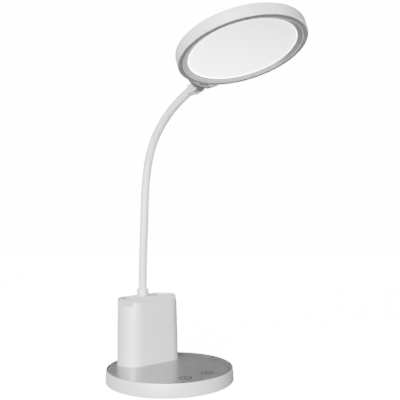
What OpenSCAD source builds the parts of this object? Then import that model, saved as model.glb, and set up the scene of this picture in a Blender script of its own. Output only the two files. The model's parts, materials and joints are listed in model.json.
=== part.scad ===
// Gooseneck LED desk lamp: a round base with a touch panel, an organiser pillar with a phone ledge
// and pen wells, a flexible neck and a round head that tilts on the neck's end.
// Millimetres, +Z up. The origin is the centre of the base on the desk; the head reaches out over -Y.

/* [Base] */
// Outer diameter of the base at its foot
base_d = 152.8; // [144:0.4:170]
// How far the base's side leans in from its foot to its rim
base_draft = 1; // [0:0.1:1.5]
// Thickness of the base's side wall at its foot
base_wall = 3; // [2.4:0.1:4]
// Width of the ledge that carries the top panel
ledge_w = 3.4; // [2.6:0.1:5]
// Thickness of the top panel
panel_t = 2.2; // [1.6:0.1:3]
// Height of the white rim above the top panel
rim_lip = 0.6; // [0.2:0.1:1.5]
// Height of the bay for the battery and the boards
bay_h = 6.2; // [5.8:0.1:10]
// Thickness of the steel weight
weight_t = 5; // [3:0.5:8]
// Thickness of the bottom cover
cover_t = 2; // [1.6:0.1:3]
// How far the rubber feet stand out of the bottom cover
feet_out = 0.8; // [0.4:0.1:2]
// Radius of one rubber foot
foot_r = 7; // [5:0.5:9]

/* [Pillar] */
// Width of the pillar at its foot
pillar_w = 83; // [76:1:86]
// Depth of the pillar at its foot
pillar_d = 43; // [41:0.5:46]
// Radius of the pillar's upright corners at the foot
pillar_r = 20.8; // [16:0.1:22]
// Distance of the pillar's rear side from the edge of the base
pillar_setback = 10.3; // [9:0.1:13]
// Height of the pillar above the top panel, at the pen wells
pillar_h = 79.8; // [74:0.1:95]
// How far the pillar narrows on each side from its foot flare to its top
pillar_taper = 1.2; // [0:0.1:1.5]
// Thickness of the pillar's wall
pillar_wall = 2.2; // [1.8:0.1:3]

/* [Phone ledge and pen wells] */
// Width of the phone groove from front to back
groove_w = 11; // [9:0.5:12]
// Thickness of the lip in front of the phone groove
lip_t = 5.6; // [4:0.1:7]
// Height of the lip above the floor of the groove
lip_h = 4.1; // [3:0.1:7]
// Height of the pillar's rear top above the floor of the groove
rear_step = 7.6; // [5:0.1:12]
// Wall of the pen wells
well_wall = 1.6; // [1.2:0.1:2.4]
// Depth of the pen wells
well_depth = 60; // [30:1:64]
// Width of the block between the pen wells that carries the neck
spine_w = 22; // [19:0.5:26]

/* [Neck] */
// Distance of the neck's root from the pillar's rear side
neck_back = 11.1; // [10.8:0.1:12.5]
// Diameter of the silicone sleeve
neck_d = 10.5; // [9.5:0.1:11.5]
// Diameter of the steel core
core_d = 6.8; // [5.6:0.1:7.2]
// Diameter of the lead inside the core
lead_d = 2.6; // [1.6:0.1:2.8]
// Distance from one bending point of the neck to the next
neck_pitch = 47; // [40:0.5:56]
// Diameter of the ring at the neck's root
ferrule_d = 15; // [13.5:0.1:15.5]
// Height of the ring at the neck's root
ferrule_h = 9; // [6:0.5:16]

/* [Head joint] */
// Diameter of the collar on the neck's end
collar_d = 13.8; // [13:0.1:15]
// Distance from the neck's end to the hinge axis
collar_l = 16.1; // [15.5:0.1:20]
// Angle between the neck's end and the collar
collar_turn = 10.5; // [0:0.5:14]
// Width over the collar's two cheeks
yoke_w = 13.2; // [12.6:0.1:14]
// Radius of the cheeks round the hinge axis
cheek_r = 5; // [4.6:0.1:5.2]
// Width of the bracket's tongue between the cheeks
tongue_t = 8.6; // [7.6:0.1:8.8]
// Radius of the tongue round the hinge axis
tongue_r = 4.8; // [4.6:0.1:5]
// Diameter of the hinge pin
pin_d = 3; // [2:0.1:3.6]

/* [Head] */
// Outer diameter of the head
head_d = 140; // [130:1:180]
// Thickness of the head
head_h = 13.7; // [12.5:0.1:20]
// Angle of the head's face above level
head_tilt = 20.1; // [0:0.1:40]
// Distance of the hinge axis behind the head's rim
hinge_out = 8.35; // [8:0.05:12]
// Height of the hinge axis above the face of the bezel
hinge_up = 1.7; // [1:0.1:4]
// Wall of the head's shell
head_wall = 2; // [1.5:0.1:3]
// Width of the bezel's flat outer land
land_w = 5.6; // [4:0.1:8]
// Width of the bezel's inner cone
cone_w = 6; // [4:0.1:8]
// Depth of the diffuser behind the bezel's land
diffuser_in = 2.5; // [2:0.1:4]
// Thickness of the diffuser
diffuser_t = 1.8; // [1:0.1:2.4]
// Thickness of the light guide
guide_t = 2.5; // [2:0.1:3]
// Number of LEDs round the light guide
led_count = 36; // [12:4:48]

/* [Fits] */
// Gap between two parts that bend or swing past each other
swing_gap = 0.3; // [0.2:0.05:0.5]
// Gap between parts that are set into each other
seat_gap = 0.2; // [0.1:0.05:0.3]
// Radial clearance of the hinge pin in the cheeks
pin_gap = 0.05; // [0.02:0.01:0.09]

/* [Hidden] */
$fn = 72;
eps = 0.01;

// How far each segment of the neck is bent as the lamp stands, in degrees, from the root upwards;
// the first and the last are half segments
neck_bends = [1.9, 2.7, -1.2, 12.8, 27.9, 17.9, 5.4];
joints = len(neck_bends) - 1;

// Colours
white_shell = [0.91, 0.91, 0.93];
grey_panel = [0.6, 0.6, 0.61];
grey_ring = [0.58, 0.57, 0.58];
steel = [0.72, 0.73, 0.75];
dark_rubber = [0.16, 0.16, 0.17];
board_green = [0.1, 0.36, 0.24];
opal = [0.96, 0.96, 0.94];

// Heights of the base, from the desk up
base_r = base_d / 2;
rim_r = base_r - base_draft;
cover_z = feet_out;
weight_z = cover_z + cover_t;
weight_top = weight_z + weight_t;
panel_z = weight_top + bay_h;
panel_top = panel_z + panel_t;
rim_z = panel_top + rim_lip;
edge_round = 1.5;
rim_round = 0.6;
bay_r = base_r - base_wall;
panel_r = bay_r - seat_gap;
ledge_t = 2;
foot_pocket = 0.6;
feet_ring_r = 0.7 * base_r;

// Screws
screw_r = 1.3;
pilot_gap = 0.05;
boss_r = 3.2;
screw_head_r = 2.6;
screw_head_h = 1.4;
hole_gap = 0.4;
base_boss_at = bay_r - boss_r + 0.4;
base_screw_angles = [45, 135, 225, 315];
weight_r = base_boss_at - boss_r - 1.4;

// Electronics in the base
touch_at = [15, -52.7];
touch_r = 5.5;
board_t = 1.6;
board_size = [54, 26];
board_y = -49;
board_under = 1.7;
board_z = weight_top + board_under;
board_post_r = 2.2;
board_hole_at = [23, 9.5];
small_screw_r = 0.9;
small_head_r = 1.7;
small_head_h = 1.1;
chip_size = [9, 7, 1.1];
cell_size = [34, 50, 4.6];
cell_at = [-24, -7];
socket_size = [9, 7.3, 3.2];
socket_wall = 0.35;
charge_t = 1.2;
charge_size = [18, 13];
charge_post_h = 4.2;
charge_z = weight_z + charge_post_h;
charge_y = bay_r - 1.6 - charge_size[1] / 2;
socket_z = charge_z + charge_t + socket_size[2] / 2;
socket_front = rim_r - 0.2;
notch_w = charge_size[0] + 4;

// Pillar: stations up the outside, each a height and how far the outline has drawn in
pillar_top = panel_top + pillar_h;
groove_z = pillar_top - rear_step;
lip_z = groove_z + lip_h;
flare = 0.4;
flare_h = 4;
top_round = 1;
pillar_y = base_r - pillar_setback - pillar_d / 2;
pillar_front = pillar_y - pillar_d / 2;
corner_r = min(pillar_r, pillar_d / 2 - 0.5);
drawn_in = flare + pillar_taper;
groove_y0 = pillar_front + drawn_in * 0.9 + lip_t - 1.5;
groove_y1 = groove_y0 + groove_w;
corner_steps = 12;
insert_in = drawn_in + pillar_wall + seat_gap;
insert_t = 4;
well_in = insert_in + well_wall;
well_y0 = groove_y1 + well_wall + 1;
well_z = pillar_top - well_depth;
pillar_boss_h = 14;
pillar_boss_in = corner_r - 5.9;

// Neck
neck_y = pillar_y + pillar_d / 2 - neck_back;
neck_r = neck_d / 2;
core_r = core_d / 2;
lead_r = lead_d / 2;
sleeve_bore_r = core_r + 0.1;
core_bore_r = lead_r + 0.2;
ball_r = neck_r - 0.25;
ball_out = neck_r + swing_gap;
ball_bore_r = core_r + 0.4;
insert_top = pillar_top - 0.4;
root_flange_t = 1.4;
neck_z = insert_top + root_flange_t;
root_flange_r = 6.2;
root_thread_r = 4.8;
root_thread_l = 13;
end_gap = 0.6;

// Centre line of the neck in the plane x = 0: start of segment k as a [y, z] point, its heading
// measured from +Y, its length and its bending radius
function heading(k) = k == 0 ? 90 : heading(k - 1) + neck_bends[k - 1];
function length(k) = k == 0 || k == joints ? neck_pitch / 2 : neck_pitch;
function bend_r(k) = length(k) / (neck_bends[k] * PI / 180);
function at(k) =
    k == 0
        ? [neck_y, neck_z]
        : at(k - 1) + bend_r(k - 1) * [sin(heading(k)) - sin(heading(k - 1)),
                                       cos(heading(k - 1)) - cos(heading(k))];

// Head joint and head
neck_end = at(joints + 1);
end_heading = heading(joints + 1);
collar_heading = end_heading + collar_turn;
hinge = neck_end + collar_l * [cos(collar_heading), sin(collar_heading)];
head_r = head_d / 2;
pin_r = pin_d / 2;
washer_t = 0.5;
slot_half = tongue_t / 2 + washer_t;
spigot_l = 6;
collar_r = collar_d / 2;
collar_step = 3.4;
collar_body_l = collar_l - tongue_r - 1;
washer_gap = 0.02;

// Bezel and the light stack, as radii and heights above the face of the bezel
seam = 0.3;
flange_t = 1.1;
shell_z = flange_t + seam;
shell_in_r = head_r - head_wall;
face_r = head_r - 0.1;
land_in_r = face_r - land_w;
window_r = land_in_r - cone_w;
spigot_r = shell_in_r - seat_gap;
rim_t = 1.4;
pocket_r = window_r + 4.3;
pocket_wall = 1.2;
stack_gap = 0.2;
diffuser_z = diffuser_in;
guide_z = diffuser_z + diffuser_t;
reflector_z = guide_z + guide_t;
reflector_t = 0.3;
plate_z = reflector_z + reflector_t;
plate_t = 1;
plate_top = plate_z + plate_t;
spigot_top = plate_z - 1.1;
led_size = [3, 1.2, 1.4];
strip_t = 0.4;
strip_r = pocket_r - 0.1;
guide_r = strip_r - strip_t - led_size[1] - 0.2;
head_screw_r = 0.7;
head_screw_head_r = 1.3;
head_screw_head_h = 0.8;
head_screws_n = 6;
web_r = (pocket_r + pocket_wall + spigot_r - rim_t) / 2;
head_lead_r = 1;
head_lead_z = plate_top + head_lead_r + 0.05;
fairing_w = 38;
fairing_top = 12;
shoulder_w = 19;
bracket_screw_a = 5.5;
bracket_screw_z = 4.9;
bracket_screw_l = 2.4;
lead_slack = 30;

// The lead's way inside the head and out to the hinge, in the head's own frame
head_lead_route = [
    [0, head_r - lead_slack, head_lead_z],
    [0, head_r - 3.4, head_lead_z],
    [0, head_r + hinge_out, hinge_up + (pin_r + tongue_r) / 2]];

// --- helpers ---

// Arc of points for a rounded corner in a turned profile
function arc(c, r, a0, a1, n = 5) =
    [for (i = [0 : n]) let (a = a0 + (a1 - a0) * i / n) [c[0] + r * cos(a), c[1] + r * sin(a)]];

// Outline of the pillar drawn in by d, counter-clockwise round the pillar's own centre
function pillar_outline(d) =
    [for (q = [0 : 3], i = [0 : corner_steps])
        let (a = 90 * q + 90 * i / corner_steps,
             sx = q == 0 || q == 3 ? 1 : -1,
             sy = q < 2 ? 1 : -1)
        [sx * (pillar_w / 2 - corner_r) + (corner_r - d) * cos(a),
         sy * (pillar_d / 2 - corner_r) + (corner_r - d) * sin(a)]];

// Solid skinned over outlines of the pillar; each station is [height, how far drawn in]
module pillar_loft(stations) {
    m = 4 * (corner_steps + 1);
    n = len(stations);
    points = [for (s = stations) for (p = pillar_outline(s[1])) [p[0], pillar_y + p[1], s[0]]];
    bottom = [[for (i = [0 : m - 1]) i]];
    top = [[for (i = [0 : m - 1]) n * m - 1 - i]];
    sides = [for (k = [0 : n - 2], i = [0 : m - 1])
        let (j = (i + 1) % m)
        [k * m + i, (k + 1) * m + i, (k + 1) * m + j, k * m + j]];
    polyhedron(points = points, faces = concat(bottom, sides, top));
}

// Outside of the pillar up to a height, with a rounded top edge
module pillar_body(top) {
    pillar_loft([
        [panel_top, 0],
        [panel_top + flare_h, flare],
        [(panel_top + top) / 2, flare + pillar_taper * 0.3],
        [top - top_round, drawn_in],
        [top - top_round * 0.3, drawn_in + top_round * 0.3],
        [top, drawn_in + top_round]]);
}

// Prism over the pillar's outline drawn in by d
module pillar_prism(d, z0, z1) {
    translate([0, pillar_y, z0])
        linear_extrude(z1 - z0)
            polygon(pillar_outline(d));
}

module mirrored() {
    children();
    mirror([1, 0, 0]) children();
}

// Straight round runs between points, each a little past its corners so that they join
module wire(points, r) {
    last = len(points) - 2;
    for (k = [0 : last]) {
        step = points[k + 1] - points[k];
        before = k > 0 ? 0.6 * r : 0;
        after = k < last ? 0.6 * r : 0;
        translate(points[k])
            rotate([0, acos(step[2] / norm(step)), atan2(step[1], step[0])])
                translate([0, 0, -before])
                    cylinder(h = norm(step) + before + after, r = r, $fn = 32);
    }
}

// Puts local +X along the neck's heading at a point of its centre line; local +Z becomes +X
module on_neck(p, a) {
    translate([0, p[0], p[1]])
        rotate([90, 0, 90])
            rotate([0, 0, a])
                children();
}

// Round bar from local x = x0 to x1
module bar(x0, x1, r) {
    translate([x0, 0, 0])
        rotate([0, 90, 0])
            cylinder(h = x1 - x0, r = r);
}

// Tube or bar along segment k of the neck, longer at its upper end by a given amount
module neck_run(k, r, bore_r = 0, longer = 0) {
    turn = neck_bends[k] * (1 + longer / length(k));
    centre = at(k) + bend_r(k) * [-sin(heading(k)), cos(heading(k))];
    on_neck(centre, heading(k) + (turn > 0 ? -90 : 90 + turn))
        rotate_extrude(angle = abs(turn))
            translate([abs(bend_r(k)), 0])
                difference() {
                    circle(r = r);
                    if (bore_r > 0) circle(r = bore_r);
                }
}

// Block over everything on the far side of segment k's start, from a distance x on, towards +1 or -1
module neck_end_cut(k, x, side) {
    on_neck(at(k), heading(k))
        translate([side > 0 ? x : x - 20, -10, -10]) cube(20);
}

// Puts the head's own frame in place: origin at the centre of the bezel's face, +Z into the head
module on_head() {
    translate([0, hinge[0], hinge[1]])
        rotate([-head_tilt, 0, 0])
            translate([0, -head_r - hinge_out, -hinge_up])
                children();
}

module ring(r_out, r_in, z0, z1) {
    translate([0, 0, z0])
        difference() {
            cylinder(h = z1 - z0, r = r_out);
            translate([0, 0, -1]) cylinder(h = z1 - z0 + 2, r = r_in);
        }
}

// Round-ended slot along X, cut along Y
module stadium(w, h, l) {
    mirrored()
        translate([w / 2 - h / 2, 0, 0])
            rotate([-90, 0, 0])
                cylinder(h = l, r = h / 2, $fn = 32);
    translate([-w / 2 + h / 2, 0, -h / 2]) cube([w - h, l, h]);
}

// --- base ---

module base_shell() {
    color(white_shell)
    difference() {
        union() {
            rotate_extrude($fn = 144)
                polygon(concat(
                    [[bay_r, cover_z]],
                    arc([base_r - edge_round, cover_z + edge_round], edge_round, -90, 0),
                    arc([rim_r - rim_round, rim_z - rim_round], rim_round, 0, 90, 3),
                    [[bay_r + 0.3, rim_z], [bay_r, rim_z - 0.3],
                     [bay_r, panel_z], [bay_r - ledge_w, panel_z],
                     [bay_r - ledge_w, panel_z - ledge_t * 0.5], [bay_r, panel_z - ledge_t * 1.6]]));
            for (a = base_screw_angles)
                rotate([0, 0, a])
                    intersection() {
                        translate([base_boss_at, 0, weight_z + eps])
                            cylinder(h = panel_z - weight_z - ledge_t * 0.5, r = boss_r);
                        cylinder(h = rim_z, r = bay_r + base_wall / 2);
                    }
        }
        for (a = base_screw_angles)
            rotate([0, 0, a])
                translate([base_boss_at, 0, weight_z - 1])
                    cylinder(h = 8.5, r = screw_r + pilot_gap, $fn = 32);
        translate([0, bay_r - 2, socket_z])
            stadium(socket_size[0] + 0.6, socket_size[2] + 0.6, base_wall + 4);
    }
}

module base_top_panel() {
    color(grey_panel)
    difference() {
        union() {
            translate([0, 0, panel_z])
                rotate_extrude($fn = 144)
                    polygon([
                        [0, 0], [panel_r, 0], [panel_r, panel_t - 0.3],
                        [panel_r - 0.3, panel_t], [0, panel_t]]);
            for (x = [-1, 1], y = [-1, 1])
                translate([x * board_hole_at[0], board_y + y * board_hole_at[1], board_z + board_t])
                    cylinder(h = panel_z - board_z - board_t + eps, r = board_post_r, $fn = 32);
        }
        for (x = [-1, 1], y = [-1, 1])
            translate([x * board_hole_at[0], board_y + y * board_hole_at[1], board_z])
                cylinder(h = panel_z - board_z + 1, r = small_screw_r + pilot_gap, $fn = 32);
        pillar_screw_places()
            translate([0, 0, panel_z - 1])
                cylinder(h = panel_t + 2, r = screw_r + hole_gap, $fn = 32);
        translate([0, neck_y, panel_z - 1])
            cylinder(h = panel_t + 2, r = lead_r + 2.5);
    }
}

module base_bottom_cover() {
    color(white_shell)
    difference() {
        union() {
            translate([0, 0, cover_z])
                rotate_extrude($fn = 144)
                    polygon([[0, 0], [panel_r - 0.4, 0], [panel_r, 0.4], [panel_r, cover_t], [0, cover_t]]);
            mirrored()
                translate([charge_size[0] / 2 - 3, charge_y, weight_z - eps])
                    cylinder(h = charge_post_h + eps, r = 2);
        }
        for (a = base_screw_angles)
            rotate([0, 0, a])
                translate([base_boss_at, 0, cover_z - 1]) {
                    cylinder(h = cover_t + 2, r = screw_r + hole_gap, $fn = 32);
                    cylinder(h = 1 + cover_t / 2, r = screw_head_r + hole_gap / 2, $fn = 32);
                }
        foot_places()
            translate([0, 0, cover_z - 1])
                cylinder(h = 1 + foot_pocket, r = foot_r + seat_gap / 2);
    }
}

module foot_places() {
    children();
    for (a = [0 : 90 : 270])
        rotate([0, 0, a]) translate([feet_ring_r, 0, 0]) children();
}

module rubber_feet() {
    color(dark_rubber)
    foot_places()
        rotate_extrude($fn = 48)
            polygon([[0, 0], [foot_r - 0.5, 0], [foot_r, 0.5], [foot_r, feet_out + foot_pocket],
                     [0, feet_out + foot_pocket]]);
}

module base_screws() {
    color(steel)
    for (a = base_screw_angles)
        rotate([0, 0, a])
            translate([base_boss_at, 0, cover_z + cover_t / 2])
                rotate([180, 0, 0]) {
                    difference() {
                        cylinder(h = cover_t / 2 - 0.2, r = screw_head_r, $fn = 32);
                        translate([-0.4, -1.6, cover_t / 2 - 0.7]) cube([0.8, 3.2, 1]);
                        translate([-1.6, -0.4, cover_t / 2 - 0.7]) cube([3.2, 0.8, 1]);
                    }
                    translate([0, 0, -cover_t / 2 - 7]) cylinder(h = cover_t / 2 + 7, r = screw_r, $fn = 32);
                }
}

module weight_plate() {
    color(steel)
    difference() {
        translate([0, 0, weight_z]) cylinder(h = weight_t, r = weight_r, $fn = 144);
        translate([-notch_w / 2, charge_y - charge_size[1] / 2 - 2, weight_z - 1])
            cube([notch_w, base_r, weight_t + 2]);
    }
}

module control_board() {
    color(board_green)
    difference() {
        union() {
            translate([-board_size[0] / 2, board_y - board_size[1] / 2, board_z])
                cube([board_size[0], board_size[1], board_t]);
            translate([-chip_size[0] / 2, board_y, board_z + board_t - eps]) cube(chip_size);
        }
        for (x = [-1, 1], y = [-1, 1])
            translate([x * board_hole_at[0], board_y + y * board_hole_at[1], board_z - 1])
                cylinder(h = board_t + 2, r = small_screw_r + 0.2, $fn = 32);
    }
}

module board_screws() {
    color(steel)
    for (x = [-1, 1], y = [-1, 1])
        translate([x * board_hole_at[0], board_y + y * board_hole_at[1], board_z - small_head_h]) {
            cylinder(h = small_head_h, r = small_head_r, $fn = 32);
            cylinder(h = small_head_h + board_t + 2, r = small_screw_r, $fn = 32);
        }
}

module touch_electrodes() {
    color(dark_rubber)
    mirrored()
        translate([touch_at[0], touch_at[1], board_z + board_t])
            cylinder(h = panel_z - board_z - board_t, r = touch_r);
}

module battery_cell() {
    color([0.75, 0.76, 0.8])
    translate([cell_at[0] - cell_size[0] / 2, cell_at[1] - cell_size[1] / 2, weight_top])
        cube(cell_size);
}

module charge_board() {
    color(board_green)
    translate([-charge_size[0] / 2, charge_y - charge_size[1] / 2, charge_z])
        cube([charge_size[0], charge_size[1], charge_t]);
}

module charge_socket() {
    color(steel)
    translate([0, socket_front - socket_size[1], socket_z]) {
        difference() {
            stadium(socket_size[0], socket_size[2], socket_size[1]);
            translate([0, 1, 0])
                stadium(socket_size[0] - 2 * socket_wall, socket_size[2] - 2 * socket_wall, socket_size[1]);
        }
        translate([-3.3, 0.5, -0.35]) cube([6.6, 5.3, 0.7]);
    }
}

module wire_harness() {
    run_z = weight_top + lead_r + 0.05;
    color([0.8, 0.8, 0.82]) {
        wire([
            [6, board_y + board_size[1] / 2 + 1, run_z],
            [6, neck_y - 15, run_z],
            [0, neck_y, run_z]], lead_r);
        translate([0, neck_y, run_z]) cylinder(h = neck_z - run_z, r = 0.9 * lead_r);
    }
}

// --- pillar ---

module pillar_screw_places() {
    for (x = [-1, 1], y = [-1, 1])
        translate([x * (pillar_w / 2 - corner_r + pillar_boss_in * cos(45)),
                   pillar_y + y * (pillar_d / 2 - corner_r + pillar_boss_in * sin(45)), 0])
            children();
}

module pillar_shell() {
    color(white_shell)
    difference() {
        union() {
            difference() {
                intersection() {
                    pillar_body(lip_z);
                    translate([-pillar_w, 0, 0]) cube([2 * pillar_w, groove_y0, 2 * pillar_top]);
                }
                pillar_cavity(groove_z - insert_t);
            }
            difference() {
                intersection() {
                    pillar_body(pillar_top);
                    translate([-pillar_w, groove_y0 - eps, 0])
                        cube([2 * pillar_w, pillar_d + groove_y0, 2 * pillar_top]);
                }
                pillar_cavity(pillar_top + 1);
                translate([-pillar_w, groove_y0, groove_z])
                    cube([2 * pillar_w, groove_w, pillar_top]);
            }
            intersection() {
                pillar_screw_places()
                    translate([0, 0, panel_top]) cylinder(h = pillar_boss_h, r = boss_r, $fn = 32);
                pillar_prism(flare + pillar_wall / 2, panel_top, pillar_top);
            }
        }
        pillar_screw_places()
            translate([0, 0, panel_top - 1])
                cylinder(h = pillar_boss_h, r = screw_r + pilot_gap, $fn = 32);
    }
}

// Inside of the pillar's wall, up to a height
module pillar_cavity(top) {
    pillar_loft([
        [panel_top - 1, flare + pillar_wall],
        [panel_top + flare_h, flare + pillar_wall],
        [pillar_top - top_round, drawn_in + pillar_wall],
        [max(top, pillar_top - top_round + 0.1), drawn_in + pillar_wall]]);
}

// Half plane of one pen well or its tub, on the +X side and behind a line
module well_prism(d, x0, y0, z0, z1) {
    intersection() {
        pillar_prism(d, z0, z1);
        translate([x0, y0, z0]) cube([pillar_w, pillar_d, z1 - z0]);
    }
}

module pillar_insert() {
    color(white_shell)
    difference() {
        union() {
            intersection() {
                pillar_prism(insert_in, groove_z - insert_t, insert_top);
                translate([-pillar_w, groove_y0 + seat_gap, 0])
                    cube([2 * pillar_w, pillar_d, 2 * pillar_top]);
            }
            mirrored()
                well_prism(insert_in, spine_w / 2, well_y0 - well_wall, well_z - well_wall, groove_z);
        }
        mirrored()
            well_prism(well_in, spine_w / 2 + well_wall, well_y0, well_z, pillar_top + 1);
        translate([-pillar_w, 0, groove_z]) cube([2 * pillar_w, groove_y1, pillar_top]);
        translate([0, neck_y, groove_z - insert_t - 1])
            cylinder(h = pillar_top, r = root_thread_r + seat_gap);
        translate([0, neck_y, groove_z - insert_t - 1])
            cylinder(h = insert_t + rear_step - 3, r = 8.6);
    }
}

module pillar_screws() {
    color(steel)
    pillar_screw_places()
        translate([0, 0, panel_z - screw_head_h]) {
            cylinder(h = screw_head_h, r = screw_head_r, $fn = 32);
            cylinder(h = screw_head_h + panel_t + 10, r = screw_r, $fn = 32);
        }
}

module neck_nut() {
    color(steel)
    translate([0, neck_y, pillar_top - 4 - 4.2])
        difference() {
            cylinder(h = 4.2, r = 8, $fn = 6);
            translate([0, 0, -1]) cylinder(h = 6.2, r = root_thread_r + pin_gap);
        }
}

module neck_ferrule() {
    r = ferrule_d / 2;
    color(white_shell)
    translate([0, neck_y, insert_top])
        rotate_extrude()
            polygon(concat(
                [[root_flange_r + seat_gap, 0], [r - 0.3, 0], [r, 0.3]],
                arc([r - 1.4, ferrule_h - 1.4], 1.4, 0, 90),
                [[neck_r + seat_gap, ferrule_h], [neck_r + seat_gap, 1.6],
                 [root_flange_r + seat_gap, 1.6]]));
}

// --- neck ---

module neck_sleeve(i) {
    color(white_shell)
    difference() {
        union() {
            neck_run(i, neck_r, sleeve_bore_r);
            if (i < joints) on_neck(at(i + 1), heading(i + 1)) neck_ball();
        }
        if (i > 0) on_neck(at(i), 0) sphere(r = ball_out);
    }
}

// Half ball on the upper end of a sleeve, open along the middle
module neck_ball() {
    mouth = asin(ball_bore_r / ball_r);
    rotate([0, 90, 0])
        rotate_extrude()
            polygon(concat([[ball_bore_r, -0.5], [ball_r, -0.5]], arc([0, 0], ball_r, 0, 90 - mouth, 12)));
}

module neck_core(i) {
    color(steel)
    difference() {
        union() {
            neck_run(i, core_r, core_bore_r, i == joints ? spigot_l : 0);
            if (i == 0) {
                translate([0, neck_y, 0]) {
                    ring(root_thread_r, core_bore_r, neck_z - root_thread_l, neck_z);
                    ring(root_flange_r, core_bore_r, insert_top, neck_z);
                }
            }
        }
        if (i > 0) on_neck(at(i), 0) sphere(r = ball_out + 0.4);
        if (i < joints) neck_end_cut(i + 1, -end_gap, 1);
    }
}

module neck_lead(i) {
    color([0.8, 0.8, 0.82])
    difference() {
        neck_run(i, lead_r, 0, i == joints ? spigot_l : 0);
        if (i > 0) neck_end_cut(i, end_gap, -1);
        if (i < joints) neck_end_cut(i + 1, -end_gap, 1);
    }
}

module mirror_cheeks() {
    children();
    mirror([0, 0, 1]) children();
}

module neck_collar() {
    color(white_shell)
    on_neck(neck_end, collar_heading)
        difference() {
            union() {
                rotate([0, 90, 0])
                    rotate_extrude()
                        polygon(concat(
                            [[0, -2], [neck_r, -2], [neck_r, collar_step], [neck_r + 0.6, collar_step]],
                            arc([collar_r - 1.6, collar_body_l - 1.6], 1.6, 0, 90),
                            [[0, collar_body_l]]));
                mirror_cheeks() {
                    translate([collar_l, 0, slot_half]) cylinder(h = yoke_w / 2 - slot_half, r = cheek_r);
                    translate([collar_body_l / 2, -cheek_r, slot_half])
                        cube([collar_l - collar_body_l / 2, 2 * cheek_r, yoke_w / 2 - slot_half]);
                }
            }
            rotate([0, 0, -collar_turn]) {
                translate([-20, -10, -10]) cube(20);
                bar(-1, spigot_l + 0.2, core_r + 0.2);
            }
            bar(spigot_l - 1, collar_l, lead_r + 0.1);
            translate([collar_l, 0, -yoke_w]) cylinder(h = 2 * yoke_w, r = pin_r + pin_gap);
        }
}

// --- head joint ---

module hinge_pin() {
    color(steel)
    on_neck(hinge, 0)
        translate([0, 0, -yoke_w / 2 + 0.2]) cylinder(h = yoke_w - 0.4, r = pin_r);
}

module friction_washers() {
    color([0.78, 0.66, 0.36])
    mirrored()
        on_neck(hinge, 0)
            ring(tongue_r - 0.4, pin_r + pin_gap, tongue_t / 2 + washer_gap, slot_half - washer_gap);
}

// The point where a line from p touches a circle, on the side given by +1 or -1
function touch_point(p, c, r, side) =
    let (d = norm(c - p),
         a = atan2(c[1] - p[1], c[0] - p[0]) + side * asin(r / d),
         l = sqrt(d * d - r * r))
    p + l * [cos(a), sin(a)];

module head_bracket() {
    axis = [head_r + hinge_out, hinge_up];
    shoulder_y = axis[0] - cheek_r - swing_gap;
    low = [head_r - 5, hinge_up - tongue_r + 0.5];
    high = [head_r - 5, fairing_top];
    color(grey_ring)
    on_head()
        difference() {
            intersection() {
                translate([0, 0, -2 * tongue_r])
                    linear_extrude(4 * tongue_r + fairing_top)
                        union() {
                            polygon([
                                [-fairing_w / 2, head_r - 5], [fairing_w / 2, head_r - 5],
                                [shoulder_w / 2 + 1.5, shoulder_y - 1.5], [shoulder_w / 2, shoulder_y],
                                [-shoulder_w / 2, shoulder_y], [-shoulder_w / 2 - 1.5, shoulder_y - 1.5]]);
                            translate([-tongue_t / 2, head_r]) square([tongue_t, hinge_out + tongue_r + 2]);
                        }
                rotate([90, 0, 90])
                    translate([0, 0, -head_r])
                        linear_extrude(2 * head_r)
                            union() {
                                translate(axis) circle(r = tongue_r);
                                polygon([low, touch_point(low, axis, tongue_r - 0.5, -1), axis,
                                         touch_point(high, axis, tongue_r - 0.5, 1), high]);
                            }
            }
            translate([0, 0, -head_h]) cylinder(h = 4 * head_h, r = head_r + 0.02, $fn = 144);
            translate([-yoke_w, axis[0], axis[1]])
                rotate([0, 90, 0]) cylinder(h = 2 * yoke_w, r = pin_r + 0.02);
            bracket_screw_places()
                cylinder(h = head_wall + bracket_screw_l, r = small_screw_r + pilot_gap, $fn = 32);
            head_lead_hole(0.2);
        }
}

// Seats of the screws that hold the bracket, inside the head's wall and pointing out through it
module bracket_screw_places() {
    mirrored()
        rotate([0, 0, bracket_screw_a])
            translate([0, shell_in_r - 0.05, bracket_screw_z])
                rotate([-90, 0, 0]) children();
}

module bracket_screws() {
    color(steel)
    on_head()
        bracket_screw_places() {
            translate([0, 0, -small_head_h]) cylinder(h = small_head_h, r = small_head_r, $fn = 32);
            translate([0, 0, -eps])
                cylinder(h = head_wall + bracket_screw_l - 0.4, r = small_screw_r, $fn = 32);
        }
}

// Slanted hole from inside the head through the bracket's tongue, above the hinge pin
module head_lead_hole(gap) {
    from = head_lead_route[1];
    step = head_lead_route[2] - from;
    translate(from)
        rotate([atan2(step[2], step[1]) - 90, 0, 0])
            translate([0, 0, 1]) cylinder(h = norm(step) + 7, r = head_lead_r + gap, $fn = 32);
}

// --- head ---

module head_shell() {
    top_edge = 2.6;
    color(white_shell)
    on_head()
        difference() {
            rotate_extrude($fn = 144)
                polygon(concat(
                    [[shell_in_r, shell_z], [head_r - 0.3, shell_z], [head_r, shell_z + 0.3]],
                    arc([head_r - top_edge, head_h - top_edge], top_edge, 0, 90, 6),
                    [[0, head_h], [0, head_h - head_wall], [shell_in_r - 1, head_h - head_wall],
                     [shell_in_r, head_h - head_wall - 1]]));
            bracket_screw_places()
                translate([0, 0, -2]) cylinder(h = head_wall + 4, r = small_screw_r + 0.2, $fn = 32);
            head_lead_hole(0.3);
        }
}

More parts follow.
